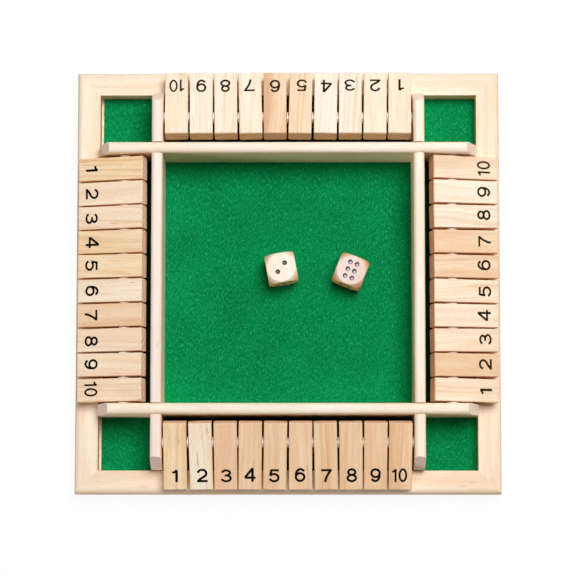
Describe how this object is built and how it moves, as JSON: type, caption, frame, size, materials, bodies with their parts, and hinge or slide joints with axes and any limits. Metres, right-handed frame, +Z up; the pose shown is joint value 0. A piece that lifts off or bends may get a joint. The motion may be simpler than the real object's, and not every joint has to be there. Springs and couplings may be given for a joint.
{
  "type": "four-sided shut the box game",
  "caption": "Square wooden shut the box game with a felt-lined pit for dice, crossed dividers, and numbered flaps hinged on steel rods along all sides.",
  "frame": {"origin": "middle of the underside, on the table that the game stands on", "axes": "+Z up; +Y towards the side at the top of the picture, +X towards the side at its right"},
  "size_m": [0.23, 0.23, 0.0335],
  "materials": {
    "frame_wood": "clear satin varnish over pale pine",
    "divider_wood": "clear satin varnish over pale pine",
    "flap_wood": "smooth, clear satin varnish over pale beech",
    "board_wood": "plain pale plywood",
    "die_wood": "tumbled smooth, light satin varnish",
    "green_felt": "short felt, fully matte",
    "rod_steel": "bright drawn steel",
    "spacer_plastic": "milky nylon"
  },
  "bodies": {
    "tray": {"base_board": "board_wood", "felt": "green_felt", "rail_south": "frame_wood", "rail_east": "frame_wood", "rail_north": "frame_wood", "rail_west": "frame_wood", "divider_south": "divider_wood", "divider_east": "divider_wood", "divider_north": "divider_wood", "divider_west": "divider_wood", "rod_south": "rod_steel", "rod_east": "rod_steel", "rod_north": "rod_steel", "rod_west": "rod_steel", "spacers_south": "spacer_plastic", "spacers_east": "spacer_plastic", "spacers_north": "spacer_plastic", "spacers_west": "spacer_plastic"},
    "flap_south_1": {"flap_south_1": "flap_wood"},
    "flap_south_2": {"flap_south_2": "flap_wood"},
    "flap_south_3": {"flap_south_3": "flap_wood"},
    "flap_south_4": {"flap_south_4": "flap_wood"},
    "flap_south_5": {"flap_south_5": "flap_wood"},
    "flap_south_6": {"flap_south_6": "flap_wood"},
    "flap_south_7": {"flap_south_7": "flap_wood"},
    "flap_south_8": {"flap_south_8": "flap_wood"},
    "flap_south_9": {"flap_south_9": "flap_wood"},
    "flap_south_10": {"flap_south_10": "flap_wood"},
    "flap_east_1": {"flap_east_1": "flap_wood"},
    "flap_east_2": {"flap_east_2": "flap_wood"},
    "flap_east_3": {"flap_east_3": "flap_wood"},
    "flap_east_4": {"flap_east_4": "flap_wood"},
    "flap_east_5": {"flap_east_5": "flap_wood"},
    "flap_east_6": {"flap_east_6": "flap_wood"},
    "flap_east_7": {"flap_east_7": "flap_wood"},
    "flap_east_8": {"flap_east_8": "flap_wood"},
    "flap_east_9": {"flap_east_9": "flap_wood"},
    "flap_east_10": {"flap_east_10": "flap_wood"},
    "flap_north_1": {"flap_north_1": "flap_wood"},
    "flap_north_2": {"flap_north_2": "flap_wood"},
    "flap_north_3": {"flap_north_3": "flap_wood"},
    "flap_north_4": {"flap_north_4": "flap_wood"},
    "flap_north_5": {"flap_north_5": "flap_wood"},
    "flap_north_6": {"flap_north_6": "flap_wood"},
    "flap_north_7": {"flap_north_7": "flap_wood"},
    "flap_north_8": {"flap_north_8": "flap_wood"},
    "flap_north_9": {"flap_north_9": "flap_wood"},
    "flap_north_10": {"flap_north_10": "flap_wood"},
    "flap_west_1": {"flap_west_1": "flap_wood"},
    "flap_west_2": {"flap_west_2": "flap_wood"},
    "flap_west_3": {"flap_west_3": "flap_wood"},
    "flap_west_4": {"flap_west_4": "flap_wood"},
    "flap_west_5": {"flap_west_5": "flap_wood"},
    "flap_west_6": {"flap_west_6": "flap_wood"},
    "flap_west_7": {"flap_west_7": "flap_wood"},
    "flap_west_8": {"flap_west_8": "flap_wood"},
    "flap_west_9": {"flap_west_9": "flap_wood"},
    "flap_west_10": {"flap_west_10": "flap_wood"},
    "die_two": {"die_two": "die_wood"},
    "die_six": {"die_six": "die_wood"}
  },
  "joints": [
    {"name": "flap_south_1_flip", "type": "hinge", "parent": "tray", "child": "flap_south_1", "pos_m": [-0.06017, -0.08787, 0.02465], "axis": [-1, 0, 0], "range_deg": [0, 149]},
    {"name": "flap_south_2_flip", "type": "hinge", "parent": "tray", "child": "flap_south_2", "pos_m": [-0.04662, -0.08787, 0.02465], "axis": [-1, 0, 0], "range_deg": [0, 149]},
    {"name": "flap_south_3_flip", "type": "hinge", "parent": "tray", "child": "flap_south_3", "pos_m": [-0.03327, -0.08787, 0.02465], "axis": [-1, 0, 0], "range_deg": [0, 149]},
    {"name": "flap_south_4_flip", "type": "hinge", "parent": "tray", "child": "flap_south_4", "pos_m": [-0.02003, -0.08787, 0.02465], "axis": [-1, 0, 0], "range_deg": [0, 149]},
    {"name": "flap_south_5_flip", "type": "hinge", "parent": "tray", "child": "flap_south_5", "pos_m": [-0.00668, -0.08787, 0.02465], "axis": [-1, 0, 0], "range_deg": [0, 149]},
    {"name": "flap_south_6_flip", "type": "hinge", "parent": "tray", "child": "flap_south_6", "pos_m": [0.00677, -0.08787, 0.02465], "axis": [-1, 0, 0], "range_deg": [0, 149]},
    {"name": "flap_south_7_flip", "type": "hinge", "parent": "tray", "child": "flap_south_7", "pos_m": [0.02003, -0.08787, 0.02465], "axis": [-1, 0, 0], "range_deg": [0, 149]},
    {"name": "flap_south_8_flip", "type": "hinge", "parent": "tray", "child": "flap_south_8", "pos_m": [0.03347, -0.08787, 0.02465], "axis": [-1, 0, 0], "range_deg": [0, 149]},
    {"name": "flap_south_9_flip", "type": "hinge", "parent": "tray", "child": "flap_south_9", "pos_m": [0.04673, -0.08787, 0.02465], "axis": [-1, 0, 0], "range_deg": [0, 149]},
    {"name": "flap_south_10_flip", "type": "hinge", "parent": "tray", "child": "flap_south_10", "pos_m": [0.05998, -0.08787, 0.02465], "axis": [-1, 0, 0], "range_deg": [0, 149]},
    {"name": "flap_east_1_flip", "type": "hinge", "parent": "tray", "child": "flap_east_1", "pos_m": [0.08787, -0.05998, 0.02465], "axis": [0, -1, 0], "range_deg": [0, 149]},
    {"name": "flap_east_2_flip", "type": "hinge", "parent": "tray", "child": "flap_east_2", "pos_m": [0.08787, -0.04662, 0.02465], "axis": [0, -1, 0], "range_deg": [0, 149]},
    {"name": "flap_east_3_flip", "type": "hinge", "parent": "tray", "child": "flap_east_3", "pos_m": [0.08787, -0.03338, 0.02465], "axis": [0, -1, 0], "range_deg": [0, 149]},
    {"name": "flap_east_4_flip", "type": "hinge", "parent": "tray", "child": "flap_east_4", "pos_m": [0.08787, -0.02013, 0.02465], "axis": [0, -1, 0], "range_deg": [0, 149]},
    {"name": "flap_east_5_flip", "type": "hinge", "parent": "tray", "child": "flap_east_5", "pos_m": [0.08787, -0.00677, 0.02465], "axis": [0, -1, 0], "range_deg": [0, 149]},
    {"name": "flap_east_6_flip", "type": "hinge", "parent": "tray", "child": "flap_east_6", "pos_m": [0.08787, 0.00647, 0.02465], "axis": [0, -1, 0], "range_deg": [0, 149]},
    {"name": "flap_east_7_flip", "type": "hinge", "parent": "tray", "child": "flap_east_7", "pos_m": [0.08787, 0.01982, 0.02465], "axis": [0, -1, 0], "range_deg": [0, 149]},
    {"name": "flap_east_8_flip", "type": "hinge", "parent": "tray", "child": "flap_east_8", "pos_m": [0.08787, 0.03347, 0.02465], "axis": [0, -1, 0], "range_deg": [0, 149]},
    {"name": "flap_east_9_flip", "type": "hinge", "parent": "tray", "child": "flap_east_9", "pos_m": [0.08787, 0.04693, 0.02465], "axis": [0, -1, 0], "range_deg": [0, 149]},
    {"name": "flap_east_10_flip", "type": "hinge", "parent": "tray", "child": "flap_east_10", "pos_m": [0.08787, 0.06017, 0.02465], "axis": [0, -1, 0], "range_deg": [0, 149]},
    {"name": "flap_north_1_flip", "type": "hinge", "parent": "tray", "child": "flap_north_1", "pos_m": [0.06017, 0.08787, 0.02465], "axis": [1, 0, 0], "range_deg": [0, 149]},
    {"name": "flap_north_2_flip", "type": "hinge", "parent": "tray", "child": "flap_north_2", "pos_m": [0.04693, 0.08787, 0.02465], "axis": [1, 0, 0], "range_deg": [0, 149]},
    {"name": "flap_north_3_flip", "type": "hinge", "parent": "tray", "child": "flap_north_3", "pos_m": [0.03358, 0.08787, 0.02465], "axis": [1, 0, 0], "range_deg": [0, 149]},
    {"name": "flap_north_4_flip", "type": "hinge", "parent": "tray", "child": "flap_north_4", "pos_m": [0.02022, 0.08787, 0.02465], "axis": [1, 0, 0], "range_deg": [0, 149]},
    {"name": "flap_north_5_flip", "type": "hinge", "parent": "tray", "child": "flap_north_5", "pos_m": [0.00658, 0.08787, 0.02465], "axis": [1, 0, 0], "range_deg": [0, 149]},
    {"name": "flap_north_6_flip", "type": "hinge", "parent": "tray", "child": "flap_north_6", "pos_m": [-0.00698, 0.08787, 0.02465], "axis": [1, 0, 0], "range_deg": [0, 149]},
    {"name": "flap_north_7_flip", "type": "hinge", "parent": "tray", "child": "flap_north_7", "pos_m": [-0.02022, 0.08787, 0.02465], "axis": [1, 0, 0], "range_deg": [0, 149]},
    {"name": "flap_north_8_flip", "type": "hinge", "parent": "tray", "child": "flap_north_8", "pos_m": [-0.03358, 0.08787, 0.02465], "axis": [1, 0, 0], "range_deg": [0, 149]},
    {"name": "flap_north_9_flip", "type": "hinge", "parent": "tray", "child": "flap_north_9", "pos_m": [-0.04682, 0.08787, 0.02465], "axis": [1, 0, 0], "range_deg": [0, 149]},
    {"name": "flap_north_10_flip", "type": "hinge", "parent": "tray", "child": "flap_north_10", "pos_m": [-0.06017, 0.08787, 0.02465], "axis": [1, 0, 0], "range_deg": [0, 149]},
    {"name": "flap_west_1_flip", "type": "hinge", "parent": "tray", "child": "flap_west_1", "pos_m": [-0.08787, 0.05958, 0.02465], "axis": [0, 1, 0], "range_deg": [0, 149]},
    {"name": "flap_west_2_flip", "type": "hinge", "parent": "tray", "child": "flap_west_2", "pos_m": [-0.08787, 0.04632, 0.02465], "axis": [0, 1, 0], "range_deg": [0, 149]},
    {"name": "flap_west_3_flip", "type": "hinge", "parent": "tray", "child": "flap_west_3", "pos_m": [-0.08787, 0.03318, 0.02465], "axis": [0, 1, 0], "range_deg": [0, 149]},
    {"name": "flap_west_4_flip", "type": "hinge", "parent": "tray", "child": "flap_west_4", "pos_m": [-0.08787, 0.01992, 0.02465], "axis": [0, 1, 0], "range_deg": [0, 149]},
    {"name": "flap_west_5_flip", "type": "hinge", "parent": "tray", "child": "flap_west_5", "pos_m": [-0.08787, 0.00677, 0.02465], "axis": [0, 1, 0], "range_deg": [0, 149]},
    {"name": "flap_west_6_flip", "type": "hinge", "parent": "tray", "child": "flap_west_6", "pos_m": [-0.08787, -0.00647, 0.02465], "axis": [0, 1, 0], "range_deg": [0, 149]},
    {"name": "flap_west_7_flip", "type": "hinge", "parent": "tray", "child": "flap_west_7", "pos_m": [-0.08787, -0.01972, 0.02465], "axis": [0, 1, 0], "range_deg": [0, 149]},
    {"name": "flap_west_8_flip", "type": "hinge", "parent": "tray", "child": "flap_west_8", "pos_m": [-0.08787, -0.03308, 0.02465], "axis": [0, 1, 0], "range_deg": [0, 149]},
    {"name": "flap_west_9_flip", "type": "hinge", "parent": "tray", "child": "flap_west_9", "pos_m": [-0.08787, -0.04643, 0.02465], "axis": [0, 1, 0], "range_deg": [0, 149]},
    {"name": "flap_west_10_flip", "type": "hinge", "parent": "tray", "child": "flap_west_10", "pos_m": [-0.08787, -0.05998, 0.02465], "axis": [0, 1, 0], "range_deg": [0, 149]},
    {"name": "die_two_lift", "type": "slide", "parent": "tray", "child": "die_two", "axis": [0, 0, 1], "range_m": [0, 0.04]},
    {"name": "die_six_lift", "type": "slide", "parent": "tray", "child": "die_six", "axis": [0, 0, 1], "range_m": [0, 0.04]}
  ]
}
